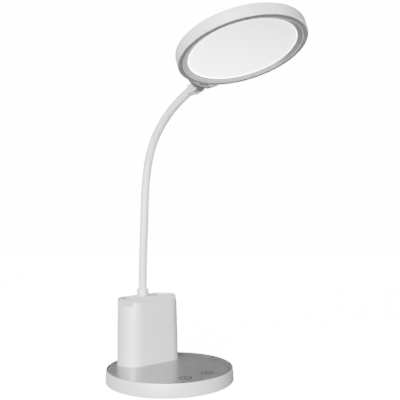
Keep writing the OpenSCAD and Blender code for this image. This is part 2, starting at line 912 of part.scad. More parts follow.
module bezel_ring() {
    color(grey_ring)
    on_head()
        difference() {
            union() {
                rotate_extrude($fn = 144)
                    polygon([
                        [face_r, 0.4], [face_r - 0.4, 0], [land_in_r, 0],
                        [window_r, diffuser_z - 0.3], [window_r, diffuser_z],
                        [pocket_r, diffuser_z], [pocket_r, plate_z],
                        [pocket_r + pocket_wall, plate_z], [pocket_r + pocket_wall, flange_t + 0.6],
                        [spigot_r - rim_t, flange_t + 0.6], [spigot_r - rim_t, spigot_top],
                        [spigot_r, spigot_top], [spigot_r, flange_t], [face_r, flange_t]]);
                head_screw_places()
                    intersection() {
                        translate([-pocket_wall - 2, -1.6, flange_t])
                            cube([2 * pocket_wall + 4, 3.2, plate_z - flange_t]);
                        translate([-web_r, 0, 0])
                            ring(spigot_r - rim_t + 0.3, pocket_r + pocket_wall / 2, flange_t, plate_z);
                    }
            }
            head_screw_places()
                translate([0, 0, plate_z - 3.2]) cylinder(h = 4, r = head_screw_r + pilot_gap, $fn = 24);
            bracket_screw_places()
                translate([0, 0, -rim_t - 1.5]) cylinder(h = rim_t + 2.5, r = small_head_r + 0.4, $fn = 32);
        }
}

module head_screw_places() {
    for (i = [0 : head_screws_n - 1])
        rotate([0, 0, 360 * i / head_screws_n])
            translate([web_r, 0, 0]) children();
}

module diffuser() {
    color(opal)
    on_head()
        translate([0, 0, diffuser_z]) cylinder(h = diffuser_t, r = pocket_r - stack_gap, $fn = 144);
}

module light_guide() {
    color([0.85, 0.92, 0.95])
    on_head()
        translate([0, 0, guide_z]) cylinder(h = guide_t, r = guide_r, $fn = 144);
}

module led_strip() {
    color([0.95, 0.95, 0.9])
    on_head()
        ring(strip_r, strip_r - strip_t, guide_z, reflector_z);
}

module leds() {
    color([1, 0.93, 0.6])
    on_head()
        for (i = [0 : led_count - 1])
            rotate([0, 0, 360 * i / led_count])
                translate([strip_r - strip_t - led_size[1] - 0.05, -led_size[0] / 2, guide_z + 0.5])
                    cube([led_size[1], led_size[0], led_size[2]]);
}

module reflector_sheet() {
    color("white")
    on_head()
        translate([0, 0, reflector_z]) cylinder(h = reflector_t, r = pocket_r - stack_gap, $fn = 144);
}

module back_plate() {
    color([0.8, 0.81, 0.83])
    on_head()
        difference() {
            translate([0, 0, plate_z]) cylinder(h = plate_t, r = spigot_r - rim_t, $fn = 144);
            head_screw_places()
                translate([0, 0, plate_z - 1]) cylinder(h = plate_t + 2, r = head_screw_r + 0.15, $fn = 24);
        }
}

module head_screws() {
    color(steel)
    on_head()
        head_screw_places() {
            translate([0, 0, plate_top]) cylinder(h = head_screw_head_h, r = head_screw_head_r, $fn = 24);
            translate([0, 0, plate_z - 2.8]) cylinder(h = plate_t + 2.8 + eps, r = head_screw_r, $fn = 24);
        }
}

module head_lead() {
    color([0.8, 0.8, 0.82])
    on_head() wire(head_lead_route, head_lead_r);
}

base_shell();
base_top_panel();
base_bottom_cover();
rubber_feet();
base_screws();
weight_plate();
control_board();
board_screws();
touch_electrodes();
battery_cell();
charge_board();
charge_socket();
wire_harness();
pillar_shell();
pillar_insert();
pillar_screws();
neck_nut();
neck_ferrule();
for (i = [0 : joints]) {
    neck_sleeve(i);
    neck_core(i);
    neck_lead(i);
}
neck_collar();
hinge_pin();
friction_washers();
head_bracket();
bracket_screws();
head_shell();
bezel_ring();
diffuser();
light_guide();
led_strip();
leds();
reflector_sheet();
back_plate();
head_screws();
head_lead();
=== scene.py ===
# Look of the desk lamp: white plastic, a satin grey panel and bezel, an opal lit disc and a smooth neck.
# Lengths in the settings are in millimetres and angles in degrees, unless a note there says otherwise.
import json
import math

import bmesh
import bpy
import numpy as np
from mathutils import Matrix

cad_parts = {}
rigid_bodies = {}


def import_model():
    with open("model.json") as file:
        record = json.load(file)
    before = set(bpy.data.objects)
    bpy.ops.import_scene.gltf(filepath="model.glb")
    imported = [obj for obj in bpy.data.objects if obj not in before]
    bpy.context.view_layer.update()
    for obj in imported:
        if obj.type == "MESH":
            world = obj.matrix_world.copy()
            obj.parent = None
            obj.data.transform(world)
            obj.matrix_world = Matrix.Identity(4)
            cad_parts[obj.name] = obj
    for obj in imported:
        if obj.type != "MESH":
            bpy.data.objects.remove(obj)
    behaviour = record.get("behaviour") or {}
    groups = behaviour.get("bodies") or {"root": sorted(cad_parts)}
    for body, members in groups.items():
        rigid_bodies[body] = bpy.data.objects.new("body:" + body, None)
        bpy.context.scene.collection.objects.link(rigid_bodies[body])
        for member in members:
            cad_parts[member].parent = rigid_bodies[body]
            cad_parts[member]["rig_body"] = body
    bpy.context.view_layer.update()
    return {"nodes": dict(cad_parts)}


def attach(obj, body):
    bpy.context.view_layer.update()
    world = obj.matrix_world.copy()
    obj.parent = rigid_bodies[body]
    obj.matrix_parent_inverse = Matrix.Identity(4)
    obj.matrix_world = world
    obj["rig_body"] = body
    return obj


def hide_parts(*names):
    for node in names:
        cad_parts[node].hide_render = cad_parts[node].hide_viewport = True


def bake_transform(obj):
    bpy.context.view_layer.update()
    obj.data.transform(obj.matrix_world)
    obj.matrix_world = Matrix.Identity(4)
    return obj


perMetre = 1000.0  # millimetres in a metre
fullTurn = 360.0

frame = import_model()
nodes = frame["nodes"]
print("loaded", len(nodes), "nodes")

# The camera is fitted to the photograph: it stands a little below the middle of the neck and looks level.
# Its place is in metres, and its axes are directions.
camera = {
    "place": (-0.47043, -0.62373, 0.21490),
    "right": (0.7683, -0.6401, -0.0089),
    "up": (0.0068, -0.0057, 0.99996),
    "back": (-0.6401, -0.7683, 0.0),
    "lens": 58.86,
    "sensor": 36.0,
}


# A new object in the scene.
def addObject(name, data):
    piece = bpy.data.objects.new(name, data)
    bpy.context.scene.collection.objects.link(piece)
    return piece


# The matrix that stands an object at a place with its own x, y and z axes along right, up and back.
def standAt(place, right, up, back):
    return Matrix.Translation(place) @ Matrix((right, up, back)).transposed().to_4x4()


cameraData = bpy.data.cameras.new("camera")
cameraData.lens = camera["lens"]
cameraData.sensor_width = camera["sensor"]
cameraObject = addObject("camera", cameraData)
cameraObject.matrix_world = standAt(camera["place"], camera["right"], camera["up"], camera["back"])
bpy.context.scene.camera = cameraObject
print("camera set")


# materials
# An sRGB colour code as linear RGBA, by the sRGB standard's own curve and numbers.
def linear(code):
    parts = [int(code[i:i + 2], 16) / 255 for i in (1, 3, 5)]
    return [p / 12.92 if p <= 0.04045 else ((p + 0.055) / 1.055) ** 2.4 for p in parts] + [1.0]


# A shader node of a material or the world, with its settings. An input is a value or a socket to link from.
def addNode(owner, kind, inputs=None, **settings):
    node = owner.node_tree.nodes.new(kind)
    for name, value in settings.items():
        setattr(node, name, value)
    for name, value in (inputs or {}).items():
        if isinstance(value, bpy.types.NodeSocket):
            owner.node_tree.links.new(value, node.inputs[name])
        else:
            node.inputs[name].default_value = value
    return node


# A new material and its principled shader.
def startMaterial(name):
    material = bpy.data.materials.new(name)
    material.use_nodes = True
    return material, material.node_tree.nodes["Principled BSDF"]


# What a material has where its own settings don't say otherwise. Its shade and gloss drift a little from
# place to place. Its specks of pigment are really about 0.2 mm, and are drawn coarser so that they show.
# Its surface has a fine grain.
common = {
    "metallic": 0.0,
    "clear": 0.0,
    "coat": 0.0,
    "coatRoughness": 0.3,
    "driftSize": 18.0,
    "driftDetail": 2.0,
    "drift": 0.015,  # share of the shade, each way
    "glossDrift": 0.08,  # share of the roughness, each way
    "speckSize": 1.4,
    "speckDetail": 1.0,
    "speckContrast": (0.3, 0.7),  # the noise values between which a speck goes from darkest to lightest
    "speckle": 0.02,  # share of the shade, each way
    "grain": 0.4,
    "grainDetail": 3.0,
    "grainStrength": 0.04,
    "grainDepth": 0.1,
}


# A principled material: its colour is the hex colour times the drift and the specks, its roughness goes
# with the drift, and its normal follows the slope of the grain.
def makeMaterial(name, own):
    settings = {**common, **own}
    material, shader = startMaterial(name)
    shader.inputs["Metallic"].default_value = settings["metallic"]
    shader.inputs["Transmission Weight"].default_value = settings["clear"]
    shader.inputs["Coat Weight"].default_value = settings["coat"]
    shader.inputs["Coat Roughness"].default_value = settings["coatRoughness"]
    if "ior" in settings:
        shader.inputs["IOR"].default_value = settings["ior"]
    place = addNode(material, "ShaderNodeTexCoord").outputs["Object"]
    drift = addNode(material, "ShaderNodeTexNoise", {
        "Vector": place,
        "Scale": perMetre / settings["driftSize"],
        "Detail": settings["driftDetail"],
    })
    shade = addNode(material, "ShaderNodeMapRange", {
        "Value": drift.outputs["Fac"],
        "To Min": 1.0 - settings["drift"],
        "To Max": 1.0 + settings["drift"],
    })
    speck = addNode(material, "ShaderNodeTexNoise", {
        "Vector": place,
        "Scale": perMetre / settings["speckSize"],
        "Detail": settings["speckDetail"],
    })
    flecks = addNode(material, "ShaderNodeMapRange", {
        "Value": speck.outputs["Fac"],
        "From Min": settings["speckContrast"][0],
        "From Max": settings["speckContrast"][1],
        "To Min": 1.0 - settings["speckle"],
        "To Max": 1.0 + settings["speckle"],
    })
    uneven = addNode(material, "ShaderNodeMath", {
        0: shade.outputs["Result"],
        1: flecks.outputs["Result"],
    }, operation="MULTIPLY")
    tinted = addNode(material, "ShaderNodeVectorMath", {
        0: linear(settings["color"])[:3],
        1: uneven.outputs[0],
    }, operation="MULTIPLY")
    gloss = addNode(material, "ShaderNodeMapRange", {
        "Value": drift.outputs["Fac"],
        "To Min": settings["roughness"] * (1.0 - settings["glossDrift"]),
        "To Max": settings["roughness"] * (1.0 + settings["glossDrift"]),
    })
    grain = addNode(material, "ShaderNodeTexNoise", {
        "Vector": place,
        "Scale": perMetre / settings["grain"],
        "Detail": settings["grainDetail"],
    })
    bump = addNode(material, "ShaderNodeBump", {
        "Height": grain.outputs["Fac"],
        "Strength": settings["grainStrength"],
        "Distance": settings["grainDepth"] / perMetre,
    })
    for source, target in ((tinted.outputs["Vector"], "Base Color"), (gloss.outputs["Result"], "Roughness"),
                           (bump.outputs["Normal"], "Normal")):
        material.node_tree.links.new(source, shader.inputs[target])
    return material


looks = {
    # ABS, injection moulded and clear-lacquered: soft broad highlights on an almost even white
    "lacqueredAbs": {"color": "#DFDFE2", "roughness": 0.46, "ior": 1.53, "coat": 0.5,
                     "coatRoughness": 0.4, "grain": 0.35, "grainStrength": 0.06},
    # the same ABS on the head, a shade lighter with a finer mould face
    "lacqueredHeadAbs": {"color": "#E3E3E6", "roughness": 0.44, "ior": 1.53, "coat": 0.5,
                         "coatRoughness": 0.38, "grain": 0.35, "grainStrength": 0.04},
    # polycarbonate film with pearl paint on its back: smooth, so it mirrors the pillar softly, with fine
    # flecks (real flakes are 0.1 mm; drawn coarser so that they show)
    "pearlPolycarbonate": {"color": "#78787B", "roughness": 0.34, "ior": 1.58, "coat": 0.6,
                           "coatRoughness": 0.26, "grain": 0.25, "grainStrength": 0.03,
                           "speckle": 0.12, "speckSize": 1.6},
    # ABS, moulded in grey: matt, with a fine mould texture; its cone and outer edge carry painted shade and
    # highlights, set further down
    "greyBezelAbsPaintedShade": {"color": "#949396", "roughness": 0.4, "ior": 1.53,
                        "grain": 0.25, "grainStrength": 0.06},
    # ABS, moulded in a darker grey for the hinge's fairing: matt and even
    "mouldedGreyAbs": {"color": "#7D7B7E", "roughness": 0.42, "ior": 1.53,
                       "grain": 0.25, "grainStrength": 0.06},
    # silicone rubber, extruded: matt and slightly waxy, it softens every edge of a highlight
    "extrudedSilicone": {"color": "#E4E4E7", "roughness": 0.46, "ior": 1.41, "coat": 0.5,
                         "coatRoughness": 0.45, "grain": 0.3, "grainStrength": 0.08},
    # synthetic rubber, moulded: dull black that hardly reflects
    "mouldedRubber": {"color": "#1C1C1E", "roughness": 0.75, "ior": 1.52,
                      "grain": 0.4, "grainStrength": 0.2},
    # steel, zinc plated: cool grey with a soft metal shine
    "zincPlatedSteel": {"color": "#B9BCC2", "roughness": 0.32, "metallic": 1.0},
    # iron, sand cast and left raw: dark, rough and uneven
    "castIron": {"color": "#55585B", "roughness": 0.6, "metallic": 1.0, "drift": 0.1, "grain": 0.6,
                 "grainStrength": 0.3},
    # aluminium sheet, rolled: pale grey, half matt
    "rolledAluminium": {"color": "#D5D7DA", "roughness": 0.38, "metallic": 1.0},
    # brass, stamped: warm yellow shine
    "stampedBrass": {"color": "#C9A85B", "roughness": 0.3, "metallic": 1.0},
    # glass-fibre board under solder mask: deep green gloss
    "maskedBoard": {"color": "#1F5A39", "roughness": 0.35, "ior": 1.52, "drift": 0.05},
    # polyurethane foam filled with carbon: black and crumbly
    "carbonFoam": {"color": "#2B2B2D", "roughness": 0.9, "ior": 1.5, "drift": 0.08, "grain": 0.5,
                   "grainStrength": 0.5},
    # aluminium foil, laminated as a pouch: bright, slightly soft metal
    "pouchFoil": {"color": "#C6C8CC", "roughness": 0.3, "metallic": 1.0},
    # PVC, extruded round the wire: plain satin grey
    "extrudedPvc": {"color": "#CFCFD1", "roughness": 0.5, "ior": 1.54},
    # acrylic, cast with white pigment: smooth and milky, so that light from behind it spreads evenly
    "opalAcrylic": {"color": "#F4F4F0", "roughness": 0.45, "ior": 1.49},
    # acrylic, cast clear and polished: water-clear with bright edges
    "castAcrylic": {"color": "#F2F8FA", "roughness": 0.05, "ior": 1.49, "clear": 0.9},
    # polyester film, voided white: flat bright white
    "whitePolyester": {"color": "#F7F7F5", "roughness": 0.5, "ior": 1.6},
    # silicone with phosphor powder, dispensed into the lamps: pale yellow
    "phosphorSilicone": {"color": "#F3DC8C", "roughness": 0.3, "ior": 1.41},
    # epoxy ink, screen printed: near black and matt
    "printedInk": {"color": "#0C0C0D", "roughness": 0.7, "ior": 1.5},
}
# the white ABS again, for the base's wall, whose lip gets a painted shadow line further down
looks["rimShadowPaintedAbs"] = looks["lacqueredAbs"]
materials = {name: makeMaterial(name, settings) for name, settings in looks.items()}

# The head's own frame: the hinge's pin in y and z, the lean of the face, the head's radius, and how far the
# pin is out from its wall and up from its face
head = {"hinge": (-57.078, 342.311), "tilt": 20.1, "radius": 70.0, "hingeOut": 8.35, "hingeUp": 1.7}
tiltCos, tiltSin = math.cos(math.radians(head["tilt"])), math.sin(math.radians(head["tilt"]))
outward = head["radius"] + head["hingeOut"]
# the centre of the bezel's face, in metres, and the axis up into the head
faceCentre = (0.0,
              (head["hinge"][0] - outward * tiltCos - head["hingeUp"] * tiltSin) / perMetre,
              (head["hinge"][1] + outward * tiltSin - head["hingeUp"] * tiltCos) / perMetre)
headAxis = (0.0, tiltSin, tiltCos)
towardsFront = (0.0, -tiltCos, tiltSin)


# Two sockets in metres: the place counted from the face's centre, and its distance from the head's axis,
# which is the length of that place crossed with the axis.
def headPlace(material):
    place = addNode(material, "ShaderNodeTexCoord").outputs["Object"]
    fromCentre = addNode(material, "ShaderNodeVectorMath", {0: place, 1: faceCentre}, operation="SUBTRACT")
    across = addNode(material, "ShaderNodeVectorMath", {
        0: fromCentre.outputs[0],
        1: headAxis,
    }, operation="CROSS_PRODUCT")
    length = addNode(material, "ShaderNodeVectorMath", {0: across.outputs[0]}, operation="LENGTH")
    return fromCentre.outputs["Vector"], length.outputs["Value"]


# The bezel's zones, from the diffuser outwards: cone, bright lip, matt land and outer edge. The
# lip, the land and the edge begin at a radius. The cone has painted shade on its right and painted light on
# its left, and the edge has a painted highlight on the near side and a painted shadow line on the far
# side: such a zone turns from its painted shade to its painted light between two distances along a
# direction, counted from the face's centre.
bezelZones = {
    "cone": {"shade": "#939295", "light": "#DEDEE0", "towards": (-0.77, 0.64, 0.0),
             "between": (-55.0, -34.0)},
    "lip": {"begin": 63.7, "color": "#F0F0F1"},
    "land": {"begin": 64.5, "color": "#979698"},
    "edge": {"begin": 68.7, "shade": "#3C3C3F", "light": "#FAFAFA", "towards": (-0.64, -0.77, 0.0),
             "between": (-22.0, 22.0)},
}
bezel = materials["greyBezelAbsPaintedShade"]
bezelPlace, bezelRadius = headPlace(bezel)


# A zone's colour: one colour all over, or a smooth step from its painted shade to its painted light,
# by how far the place lies along its direction.
def zoneColor(zone):
    if "color" in zone:
        return linear(zone["color"])
    along = addNode(bezel, "ShaderNodeVectorMath", {
        0: bezelPlace,
        1: zone["towards"],
    }, operation="DOT_PRODUCT")
    share = addNode(bezel, "ShaderNodeMapRange", {
        "Value": along.outputs["Value"],
        "From Min": zone["between"][0] / perMetre,
        "From Max": zone["between"][1] / perMetre,
    }, interpolation_type="SMOOTHSTEP")
    return addNode(bezel, "ShaderNodeMixRGB", {
        "Fac": share.outputs["Result"],
        "Color1": linear(zone["shade"]),
        "Color2": linear(zone["light"]),
    }).outputs["Color"]


# the bezel's colour, zone by zone, with the painted shade and highlights of the cone and the edge
bezelColor = zoneColor(bezelZones["cone"])
for name in ("lip", "land", "edge"):
    zone = bezelZones[name]
    beyond = addNode(bezel, "ShaderNodeMath", {
        0: bezelRadius,
        1: zone["begin"] / perMetre,
    }, operation="GREATER_THAN")
    bezelColor = addNode(bezel, "ShaderNodeMixRGB", {
        "Fac": beyond.outputs[0],
        "Color1": bezelColor,
        "Color2": zoneColor(zone),
    }).outputs["Color"]
bezel.node_tree.links.new(bezelColor, bezel.node_tree.nodes["Principled BSDF"].inputs["Base Color"])

# The opal disc's light, as strengths and gains: brightest beside the hinge and dimmer towards the front,
# which is painted shade, with a bright line at its edge where the strip shines past it
glow = {"color": "#FBFCF8", "byHinge": 5.9, "atFront": 2.0, "reach": 58.0,
        "edgeFrom": 50.0, "edgeTo": 58.0, "edgeGain": 1.15, "lineAt": 57.4, "lineGain": 2.5}
opal = materials["opalAcrylic"]
opalInputs = opal.node_tree.nodes["Principled BSDF"].inputs
opalInputs["Emission Color"].default_value = linear(glow["color"])
opalPlace, opalRadius = headPlace(opal)
toFront = addNode(opal, "ShaderNodeVectorMath", {0: opalPlace, 1: towardsFront}, operation="DOT_PRODUCT")
# the glow falls from beside the hinge to the front: painted shade on the disc
glowWithPaintedShade = addNode(opal, "ShaderNodeMapRange", {
    "Value": toFront.outputs["Value"],
    "From Min": -glow["reach"] / perMetre,
    "From Max": glow["reach"] / perMetre,
    "To Min": glow["byHinge"],
    "To Max": glow["atFront"],
})
edge = addNode(opal, "ShaderNodeMapRange", {
    "Value": opalRadius,
    "From Min": glow["edgeFrom"] / perMetre,
    "From Max": glow["edgeTo"] / perMetre,
    "To Min": 1.0,
    "To Max": glow["edgeGain"],
}, interpolation_type="SMOOTHSTEP")
line = addNode(opal, "ShaderNodeMath", {
    0: opalRadius,
    1: glow["lineAt"] / perMetre,
}, operation="GREATER_THAN")
lineGlow = addNode(opal, "ShaderNodeMath", {
    0: line.outputs[0],
    1: glow["lineGain"],
    2: 1.0,
}, operation="MULTIPLY_ADD")
edgeGlow = addNode(opal, "ShaderNodeMath", {
    0: edge.outputs["Result"],
    1: lineGlow.outputs[0],
}, operation="MULTIPLY")
discGlow = addNode(opal, "ShaderNodeMath", {
    0: glowWithPaintedShade.outputs["Result"],
    1: edgeGlow.outputs[0],
}, operation="MULTIPLY")
opal.node_tree.links.new(discGlow.outputs[0], opalInputs["Emission Strength"])

# The inner half of the base's raised lip is darkened as painted shadow: the panel's shadow gap
rimPaintedShadow = {"radius": 74.7, "color": "#4C4C4F"}
lipLook = materials["rimShadowPaintedAbs"]
place = addNode(lipLook, "ShaderNodeTexCoord").outputs["Object"]
flat = addNode(lipLook, "ShaderNodeVectorMath", {0: place, 1: (1.0, 1.0, 0.0)}, operation="MULTIPLY")
fromAxis = addNode(lipLook, "ShaderNodeVectorMath", {0: flat.outputs["Vector"]}, operation="LENGTH")
onLip = addNode(lipLook, "ShaderNodeMath", {
    0: fromAxis.outputs["Value"],
    1: rimPaintedShadow["radius"] / perMetre,
}, operation="LESS_THAN")
lipColor = lipLook.node_tree.nodes["Principled BSDF"].inputs["Base Color"]
# the painted shadow line: dark inside the set radius, the white ABS outside it
painted = addNode(lipLook, "ShaderNodeMixRGB", {
    "Fac": onLip.outputs[0],
    "Color1": lipColor.links[0].from_socket,
    "Color2": linear(rimPaintedShadow["color"]),
})
lipLook.node_tree.links.new(painted.outputs["Color"], lipColor)

# The CAD nodes in each finish. Nodes that differ only by the number at their end are of one kind.
kindsIn = {
    "rimShadowPaintedAbs": ["base_shell"],
    "lacqueredAbs": ["base_bottom_cover", "pillar_shell", "pillar_insert", "neck_ferrule", "neck_collar"],
    "lacqueredHeadAbs": ["head_shell"],
    "pearlPolycarbonate": ["base_top_panel"],
    "greyBezelAbsPaintedShade": ["bezel_ring"],
    "mouldedGreyAbs": ["head_bracket"],
    "extrudedSilicone": ["neck_sleeve"],
    "mouldedRubber": ["rubber_feet"],
    "zincPlatedSteel": ["base_screws", "board_screws", "charge_socket", "pillar_screws", "neck_nut",
                        "neck_core", "hinge_pin", "bracket_screws", "head_screws"],
    "castIron": ["weight_plate"],
    "rolledAluminium": ["back_plate"],
    "stampedBrass": ["friction_washers"],
    "maskedBoard": ["control_board", "charge_board"],
    "carbonFoam": ["touch_electrodes"],
    "pouchFoil": ["battery_cell"],
    "extrudedPvc": ["wire_harness", "neck_lead", "head_lead"],
    "opalAcrylic": ["diffuser"],
    "castAcrylic": ["light_guide"],
    "whitePolyester": ["led_strip", "reflector_sheet"],
    "phosphorSilicone": ["leds"],
}
lookOf = {kind: look for look, kinds in kindsIn.items() for kind in kinds}
for name, node in nodes.items():
    kind = name.rstrip("_0123456789")
    node.data.materials.clear()
    node.data.materials.append(materials[lookOf[kind]])
print("materials set")


# new pieces
# A mesh object from an array of points in metres and faces as index lists.
def addMesh(name, points, faces, look, smooth=True):
    mesh = bpy.data.meshes.new(name)
    mesh.from_pydata(points.tolist(), [], faces)
    mesh.polygons.foreach_set("use_smooth", [smooth] * len(mesh.polygons))
    mesh.update()
    mesh.materials.append(materials[look])
    return addObject(name, mesh)


# Faces over rings of points, numbered from the first point's number: a quad between each two neighbours of
# one ring and the same two of the next, and a flat end over the first and the last ring, unless these are
# joined.
def ringFaces(rings, first=0, joined=False):
    steps, count = rings.shape[:2]
    index = first + np.arange(steps * count).reshape(steps, count)
    ends = [] if joined else [index[0, ::-1].tolist(), index[-1].tolist()]
    if joined:
        index = np.vstack([index, index[:1]])
    beside = np.roll(index, -1, axis=1)
    quads = np.stack([index[:-1], beside[:-1], beside[1:], index[1:]], axis=-1)
    return quads.reshape(-1, 4).tolist() + ends


# One mesh object from closed shells, each given as its rings and whether its last ring joins its first.
def addShells(name, shells, look, smooth=True):
    faces, first = [], 0
    for rings, joined in shells:
        faces += ringFaces(rings, first, joined)
        first += rings.shape[0] * rings.shape[1]
    points = np.concatenate([rings.reshape(-1, 3) for rings, _ in shells])
    return addMesh(name, points, faces, look, smooth)


# Outer solids that get a copy with smooth shading: its loose triangles are joined where points are closer
# than "join" (in metres), and only edges sharper than the angle stay sharp
smoothed = {
    "angle": 28.0,
    "join": 1e-7,
    "nodes": ("base_shell", "base_top_panel", "base_bottom_cover", "rubber_feet", "pillar_shell",
              "pillar_insert", "neck_ferrule", "neck_collar", "head_bracket", "head_shell", "bezel_ring",
              "diffuser"),
}


# Smooth shading except across edges sharper than the set angle.
def smoothByAngle(mesh):
    work = bmesh.new()
    work.from_mesh(mesh)
    bmesh.ops.remove_doubles(work, verts=work.verts, dist=smoothed["join"])
    for edge in work.edges:
        edge.smooth = not edge.is_manifold or edge.calc_face_angle() < math.radians(smoothed["angle"])
    for face in work.faces:
        face.smooth = True
    work.to_mesh(mesh)
    work.free()


# A smooth copy of a CAD node, standing for it on the same body.
def smoothCopy(nodeName):
    words = nodeName.split("_")
    name = words[0] + "".join(word.capitalize() for word in words[1:]) + "Skin"
    mesh = nodes[nodeName].data.copy()
    mesh.name = name
    smoothByAngle(mesh)
    piece = addObject(name, mesh)
    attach(piece, nodes[nodeName]["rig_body"])
    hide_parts(nodeName)


for nodeName in smoothed["nodes"]:
    smoothCopy(nodeName)
print("outer solids smoothed")

# The fairing's two wings beside the hinge, lofted outwards from the collar's cheeks to the head's wall.
# Each station is (distance from the middle, rear end, lowest, highest), in the head's own frame.
wings = {
    "stations": ((7.25, 76.6, -3.3, 7.6), (8.2, 76.4, -3.5, 8.2), (9.2, 75.8, -3.5, 8.6),
                 (11.0, 74.6, -3.2, 8.4), (13.5, 73.1, -2.6, 7.6), (16.5, 71.5, -1.8, 6.2),
                 (19.5, 70.0, -0.8, 4.6)),
    "wallRadius": 69.9,
    "noseInside": 1.5,  # the nose begins this far inside the wall
    "rootDepth": 1.0,  # and the wing is rooted this much deeper
    "nosePoints": 24,
    "bluntness": 0.6,  # power of the nose's cosine: 1 is an ellipse, and less is blunter
}


# Points given in the head's own frame (aside, away from the axis towards the hinge, up into the head), in
# metres: the face's centre plus away and up, both turned by the lean of the face.
def headPoints(aside, away, up):
    return np.stack([aside / perMetre + 0.0 * away,
                     faceCentre[1] + (away * tiltCos + up * tiltSin) / perMetre,
                     faceCentre[2] + (-away * tiltSin + up * tiltCos) / perMetre], axis=-1)


# Rings of one wing, one for each station. A ring is a half oval, which goes out from the root to the rear
# end by a power of the cosine and up from the lowest to the highest by the sine, and two points deeper in
# the wall.
def wingRings(side):
    aside, rear, low, high = np.array(wings["stations"]).T[:, :, None]
    nose = np.linspace(-math.pi / 2, math.pi / 2, wings["nosePoints"])
    root = np.sqrt(wings["wallRadius"] ** 2 - aside ** 2) - wings["noseInside"]
    away = root + (rear - root) * np.cos(nose) ** wings["bluntness"]
    up = (low + high) / 2 + (high - low) / 2 * np.sin(nose)
    deep = root - wings["rootDepth"]
    rings = headPoints(side * aside, np.hstack([deep, away, deep]), np.hstack([low, up, high]))
    return rings[:, ::side]  # the mirrored wing's rings run the other way, so that its faces point outwards


fairing = addShells("hingeFairing", [(wingRings(side), False) for side in (-1, 1)], "mouldedGreyAbs")
smoothByAngle(fairing.data)
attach(fairing, "head")
print("fairing made")

# The two touch marks, printed in dark ink on the panel: a ring round a sun, and a ring round a power sign,
# which is an open ring with a stroke in its gap
marks = {
    "sunAt": (-16.2, -50.3),
    "powerAt": (15.6, -50.3),
    "top": 16.2,  # height of the panel's face
    "ink": 0.06,
    "line": 1.3,
    "ring": 6.8,
    "sunRing": 1.3,
    "ray": (2.6, 4.3),  # radii between which a ray runs
    "rays": 6,
    "powerRing": 2.7,
    "up": 90.0,  # where the power ring is open
    "gap": 40.0,  # on each side of that
    "stroke": (0.4, 3.9),
    "steps": 72,
}


# Rings of an inked band between two outlines in x and y: each ring is an upright rectangle from the inner
# outline to the outer, and from half the ink's thickness inside the panel to its whole thickness above it.
def inkBand(inner, outer):
    low, high = marks["top"] - marks["ink"] / 2, marks["top"] + marks["ink"]
    corners = ((inner, high), (outer, high), (outer, low), (inner, low))
    return np.stack([np.column_stack([xy, np.full(len(xy), z)]) for xy, z in corners], axis=1) / perMetre


# An arc of a circle: the centre plus the radius times the cosine and the sine of angles from one to another.
def arc(centre, radius, begin, end):
    angles = np.radians(np.linspace(begin, end, marks["steps"], endpoint=end - begin < fullTurn))
    return np.column_stack([centre[0] + radius * np.cos(angles), centre[1] + radius * np.sin(angles)])


# An inked ring, whole or from one angle to another, and whether it is whole.
def inkRing(centre, radius, begin=0.0, end=fullTurn):
    inner, outer = (arc(centre, radius + side * marks["line"] / 2, begin, end) for side in (-1, 1))
    return inkBand(inner, outer), end - begin >= fullTurn


# An inked stroke between two radii at an angle from a centre: half a line to each side of its middle.
def inkStroke(centre, radii, angle):
    ahead = np.array([math.cos(math.radians(angle)), math.sin(math.radians(angle))])
    across = np.array([-ahead[1], ahead[0]]) * marks["line"] / 2
    middle = np.array(centre) + np.outer(radii, ahead)
    return inkBand(middle + across, middle - across), False


touchMarks = {
    "touchMarkSun": [inkRing(marks["sunAt"], marks["ring"]), inkRing(marks["sunAt"], marks["sunRing"])]
    + [inkStroke(marks["sunAt"], marks["ray"], fullTurn / marks["rays"] * i) for i in range(marks["rays"])],
    "touchMarkPower": [inkRing(marks["powerAt"], marks["ring"]),
                       inkRing(marks["powerAt"], marks["powerRing"], marks["up"] + marks["gap"],
                               marks["up"] + fullTurn - marks["gap"]),
                       inkStroke(marks["powerAt"], marks["stroke"], marks["up"])],
}
for name, bands in touchMarks.items():
    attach(addShells(name, bands, "printedInk", smooth=False), "base")
print("touch marks made")

# The neck: arcs of constant bend, each tangent to the next, in the plane x = 0. Each skin is a tube over
# one joint, from halfway between it and the last joint to halfway to the next.
neck = {
    "root": (55.0, 97.0),  # y and z
    "bends": (1.9, 2.7, -1.2, 12.8, 27.9, 17.9, 5.4),
    "pitch": 47.0,  # from joint to joint; the first and the last arc are half as long
    "radius": 5.25,
    "startAt": 0.2,
    "endPast": 0.3,
    "spread": 20.0,  # the neck's line is found this far on each side of a skin's joint
    "stations": 48,
    "sides": 48,
}
joints = len(neck["bends"]) - 1


# Points and headings of the neck's middle line at some lengths along it. Through each arc the heading grows
# by the length covered over the arc's radius, y by the radius times the gain in the heading's sine, and z
# by the radius times the fall in its cosine. The last arc goes on past its end.
def neckLine(along):
    y, z = (np.full(along.shape, start) for start in neck["root"])
    heading = np.full(along.shape, math.pi / 2)  # upright
    begin = 0.0
    for k, bend in enumerate(neck["bends"]):
        length = neck["pitch"] * (0.5 if k in (0, joints) else 1.0)
        radius = length / math.radians(bend)
        turned = heading + np.clip(along - begin, 0.0, length if k < joints else None) / radius
        y += radius * (np.sin(turned) - np.sin(heading))
        z += radius * (np.cos(heading) - np.cos(turned))
        heading = turned
        begin += length
    return np.column_stack([0.0 * y, y, z]) / perMetre, heading


# Rings of a tube along a line of points: each point plus the radius times (cosine of an angle along the
# line's normal there plus sine of it along the sideways axis).
def tubeRings(centres, normals, sideways, radius, count):
    angles = np.linspace(0, 2 * math.pi, count, endpoint=False)[:, None]
    return centres[:, None] + radius * (np.cos(angles) * normals[:, None] + np.sin(angles) * sideways)


